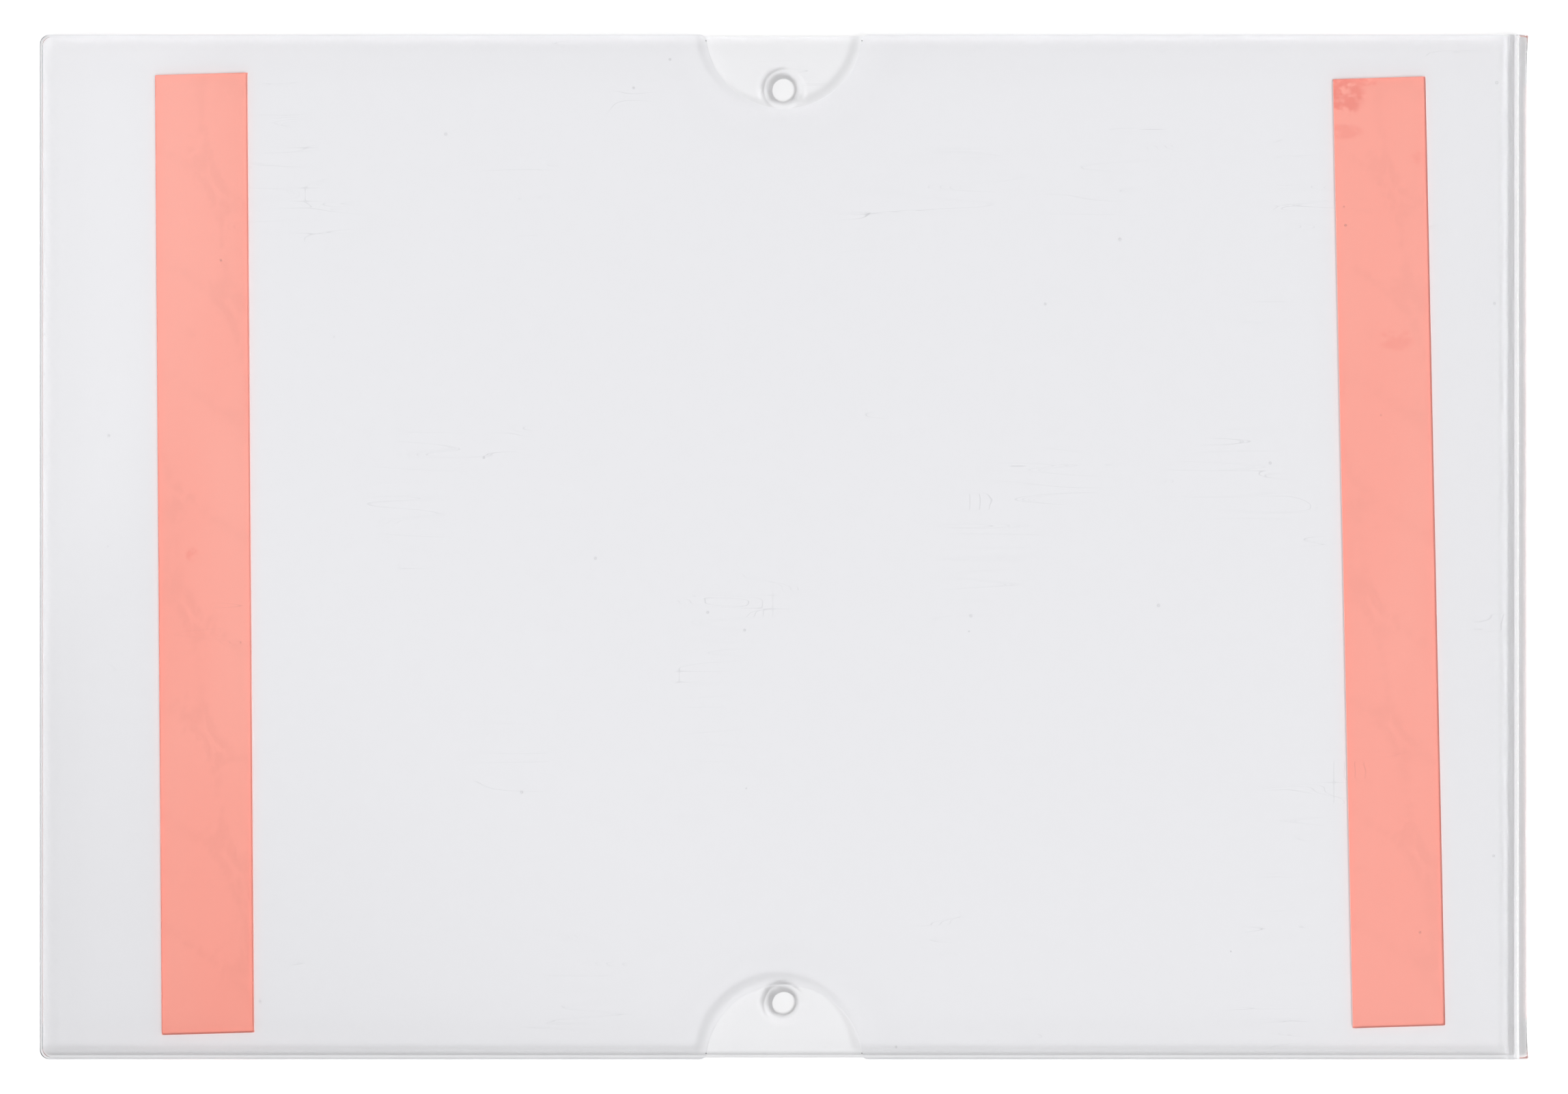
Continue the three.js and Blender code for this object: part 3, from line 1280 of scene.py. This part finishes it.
    def bonded_patch(self, parts: MeshParts, strip: MountingStrip) -> dict[str, np.ndarray]:
        """Adds the border of the area that a strip is stuck to, on the rear face.

        Args:
            parts: the mesh that it goes into.
            strip: the strip.

        Returns:
            Its right side going up and its left side going down, both with the middles of its ends.
        """
        low_left, low_right, high_right, high_left = strip.corners()
        low_middle, high_middle = (low_left + low_right) / 2, (high_left + high_right) / 2
        ring = np.stack([low_middle, low_right, high_right, high_middle, high_left, low_left])
        points = np.stack([ring[:, 0], np.zeros(len(ring)), ring[:, 1]], axis=1)
        normals = np.zeros_like(points) + np.array([0.0, 1.0, 0.0])
        indices = parts.add_points(points, normals)
        return {"right": indices[:4], "left": np.append(indices[3:], indices[0])}

    def dress(self, pocket: Object, finishes: dict[Face, Material]) -> None:
        """Gives the pocket its finishes and puts it in the frame.

        Args:
            pocket: the pocket's object.
            finishes: a material for each kind of face.
        """
        for face in Face:
            pocket.data.materials.append(finishes[face])
        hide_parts("folded_pocket")
        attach(pocket, ROOT)


# The studio


@dataclass
class Studio:
    """White wall right behind the holder, a floor below it, soft light and the camera."""

    wall_y: float = 1.3
    floor_z: float = -900.0
    reach: float = 6000.0
    floor_light: float = 0.68
    camera_distance: float = 1100.0
    front_y: float = -6.0
    scale_px_per_mm: float = 7.15
    sensor: float = 36.0
    clip: Range = (0.05, 50.0)
    key_direction: Direction = (0.18, -0.966, -0.18)
    key_share: float = 0.62
    key_angle: float = 20.0
    key_rim: Range = (0.97, 1.03)
    rear_direction: Direction = (-0.3, 0.85, 0.45)
    rear_energy: float = 1.5
    fill_share: float = 0.56
    room_level: float = 0.58
    room_shade: float = 0.53
    shade_slope: float = -1.2
    shade_range: Range = (0.08, 0.27)
    panel_direction: Direction = (-0.265, -1.0, 0.075)
    panel_angles: Range = (8.1, 9.1)
    panel_lift: float = 0.16
    low_softbox: Direction = (0.55, -0.8, -0.35)
    high_softbox: Direction = (-0.5, -0.75, 0.5)
    softbox_angles: Range = (14.0, 18.0)
    softbox_strengths: Range = (2.8, 1.0)
    bent_gain: float = 1.6

    @property
    def key_energy(self) -> float:
        """Strength of the key lamp that gives its share of the light on the wall."""
        return math.pi * self.key_share / abs(self.key_direction[1])

    def build_stage(self) -> None:
        """Builds the wall and the floor as plain quads, both facing the room."""
        far, wall, floor = self.reach * MM, self.wall_y * MM, self.floor_z * MM
        paints = {
            "wall": StagePaint("matt white wall").material(),
            "floor": StagePaint("matt white floor", own_light=self.floor_light).material(),
        }
        quads = {
            "wall": [(-far, wall, floor), (far, wall, floor), (far, wall, far), (-far, wall, far)],
            "floor": [(-far, -far, floor), (far, -far, floor), (far, far, floor), (-far, far, floor)],
        }
        for name, corners in quads.items():
            mesh = bpy.data.meshes.new(name)
            mesh.from_pydata(corners, [], [(0, 1, 2, 3)])
            mesh.materials.append(paints[name])
            made = bpy.data.objects.new(name, mesh)
            bpy.context.scene.collection.objects.link(made)

    def build_lamp(self, name: str, towards: Direction, energy: float) -> None:
        """Builds a broad soft lamp, whose disc no clear face mirrors.

        Args:
            name: its name.
            towards: the direction from the holder to it.
            energy: its strength.
        """
        light = bpy.data.lights.new(name, "SUN")
        light.energy = energy
        light.angle = math.radians(self.key_angle)
        made = bpy.data.objects.new(name, light)
        made.rotation_mode = "QUATERNION"
        made.rotation_quaternion = Vector(towards).to_track_quat("Z", "Y")
        made.visible_glossy = False
        made.visible_transmission = False
        bpy.context.scene.collection.objects.link(made)

    def toward(self, tree: Tree, ray: Socket, centre: Direction, angles: Range) -> Socket:
        """A disc in the sky: 1 within the inner angle of its centre and 0 past the outer one.

        Args:
            tree: the world's node tree.
            ray: the ray's direction.
            centre: the direction of the disc's centre.
            angles: the inner and the outer angle in degrees.

        Returns:
            The disc's mask.
        """
        product = tree.nodes.new("ShaderNodeVectorMath")
        product.operation = "DOT_PRODUCT"
        product.inputs[1].default_value = Vector(centre).normalized()
        link(tree, ray, product.inputs[0])
        near, far = (math.cos(math.radians(angle)) for angle in angles)
        return ramp(tree, product.outputs["Value"], far, near)

    def build_world(self) -> None:
        """Builds the world: white where the camera sees it, straight or through the acrylic, an even fill
        for matt surfaces with the key's disc for light that clear edges bend on its way to them, and a
        soft room for reflections, with a paler panel to the upper left and dark to the lower left."""
        world = bpy.data.worlds.new("soft room")
        bpy.context.scene.world = world
        world.use_nodes = True
        world.cycles.sampling_method = "NONE"
        tree = world.node_tree
        tree.nodes.clear()
        output = tree.nodes.new("ShaderNodeOutputWorld")
        background = tree.nodes.new("ShaderNodeBackground")
        background.inputs["Color"].default_value = WHITE
        path = tree.nodes.new("ShaderNodeLightPath")
        ray = tree.nodes.new("ShaderNodeTexCoord").outputs["Generated"]
        room = self.room(tree, ray)
        sky = self.sky(tree, ray)

        after_matt = math_node(tree, "GREATER_THAN", path.outputs["Diffuse Depth"], 0.5)
        straight = math_node(tree, "SUBTRACT", after_matt, path.outputs["Is Diffuse Ray"], clamp=True)
        fill = math_node(tree, "MULTIPLY", path.outputs["Is Diffuse Ray"], self.fill_share)
        bent = math_node(tree, "MULTIPLY", straight, sky)
        before_matt = math_node(tree, "SUBTRACT", 1.0, after_matt)
        mirrored = math_node(tree, "GREATER_THAN", path.outputs["Glossy Depth"], 0.5)
        darker = math_node(tree, "MULTIPLY", mirrored, math_node(tree, "SUBTRACT", 1.0, room))
        shown = math_node(tree, "MULTIPLY", before_matt, math_node(tree, "SUBTRACT", 1.0, darker))
        strength = math_node(tree, "ADD", math_node(tree, "ADD", fill, bent), shown)
        link(tree, strength, background.inputs["Strength"])
        link(tree, background.outputs["Background"], output.inputs["Surface"])

    def room(self, tree: Tree, ray: Socket) -> Socket:
        """The soft room that clear faces mirror: an even level, paler on the panel, darker to the lower
        left, where −1.2·z − x is high, and two soft boxes.

        Args:
            tree: the world's node tree.
            ray: the ray's direction.

        Returns:
            The room's brightness.
        """
        split = tree.nodes.new("ShaderNodeSeparateXYZ")
        link(tree, ray, split.inputs["Vector"])
        downward = math_node(tree, "MULTIPLY", split.outputs["Z"], self.shade_slope)
        low_left = math_node(tree, "SUBTRACT", downward, split.outputs["X"])
        shade = ramp(tree, low_left, *self.shade_range, 0.0, self.room_shade)
        panel = self.toward(tree, ray, self.panel_direction, self.panel_angles)
        lifted = math_node(tree, "ADD", math_node(tree, "MULTIPLY", panel, self.panel_lift), self.room_level)
        level = math_node(tree, "SUBTRACT", lifted, shade, clamp=True)
        for centre, strength in zip((self.low_softbox, self.high_softbox), self.softbox_strengths):
            box = self.toward(tree, ray, centre, self.softbox_angles)
            level = math_node(tree, "ADD", level, math_node(tree, "MULTIPLY", box, strength))
        return level

    def sky(self, tree: Tree, ray: Socket) -> Socket:
        """The light that clear edges bend on its way to a matt surface: the fill and the key's disc, whose
        radiance is gain·energy/(pi·tan² of its radius).

        Args:
            tree: the world's node tree.
            ray: the ray's direction.

        Returns:
            The sky's brightness.
        """
        radius = self.key_angle / 2
        rim = tuple(radius * share for share in self.key_rim)
        disc = self.toward(tree, ray, self.key_direction, rim)
        radiance = self.bent_gain * self.key_energy / (math.pi * math.tan(math.radians(radius)) ** 2)
        return math_node(tree, "ADD", math_node(tree, "MULTIPLY", disc, radiance), self.fill_share)

    def build_camera(self) -> None:
        """Builds the camera, square to the holder: its lens gives the photograph's pixels per millimetre
        on the front sheet."""
        camera = bpy.data.cameras.new("camera")
        camera.sensor_width = self.sensor
        camera.lens = self.scale_px_per_mm * self.sensor / IMAGE_WIDTH * self.camera_distance
        camera.clip_start, camera.clip_end = self.clip
        made = bpy.data.objects.new("camera", camera)
        made.location = (0.0, (self.front_y - self.camera_distance) * MM, 0.0)
        made.rotation_euler = (math.pi / 2, 0.0, 0.0)
        bpy.context.scene.collection.objects.link(made)
        bpy.context.scene.camera = made

    def settle(self) -> None:
        """Sets how light is followed and how colours are shown."""
        scene = bpy.context.scene
        scene.view_settings.view_transform = "Standard"
        for name, value in LIGHT_PATHS.items():
            setattr(scene.cycles, name, value)


def main() -> None:
    """Builds the holder and the studio."""
    logging.basicConfig(level=logging.INFO, format="%(name)s: %(message)s")
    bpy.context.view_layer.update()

    strips = [
        MountingStrip(Side.LEFT, centre_x=-119.2, length=197.5, lift=-1.4, lean=0.4, end_skew=1.2),
        MountingStrip(Side.RIGHT, centre_x=124.5, length=195.3, lift=-1.1, lean=1.2, end_skew=0.6),
    ]
    pocket = FoldedPocket()
    pocket_piece = pocket.build(strips)
    sheet = ClearAcrylic("clear acrylic face", True, dust=1.0, hairlines=1.0)
    edge = ClearAcrylic("clear acrylic edge", False, wave_strength=0.1)
    drilled = ClearAcrylic("drilled acrylic", False, roughness=0.18, wave_strength=0.1)
    pocket.dress(pocket_piece, {
        Face.SHEET: sheet.material(),
        Face.EDGE: edge.material(),
        Face.DRILLED: drilled.material(),
        Face.BONDED: WettedContact("acrylic under tape").material(),
    })
    shell = pocket_piece.data
    LOG.info("clear_pocket: %d points, %d faces", len(shell.vertices), len(shell.polygons))

    tape_side = ClearAcrylic("clear tape side", False, roughness=0.12, wave_strength=0.1, ior=1.47)
    side_finish = tape_side.material()
    contact = WettedContact("tape under film").material()
    film_finish = ReleaseFilm("salmon release film").material()
    for strip in strips:
        tape, film = strip.build_tape(), strip.build_film()
        strip.dress(tape, film, side_finish, contact, film_finish)
        LOG.info("%s strip: tape of %d faces, film of %d faces", strip.side.value,
                 len(tape.data.polygons), len(film.data.polygons))

    studio = Studio()
    studio.build_stage()
    studio.build_lamp("key", studio.key_direction, studio.key_energy)
    studio.build_lamp("rear", studio.rear_direction, studio.rear_energy)
    studio.build_world()
    studio.build_camera()
    studio.settle()
    LOG.info("studio: wall, floor, two lamps, world and camera")


if __name__ == "__main__":
    main()
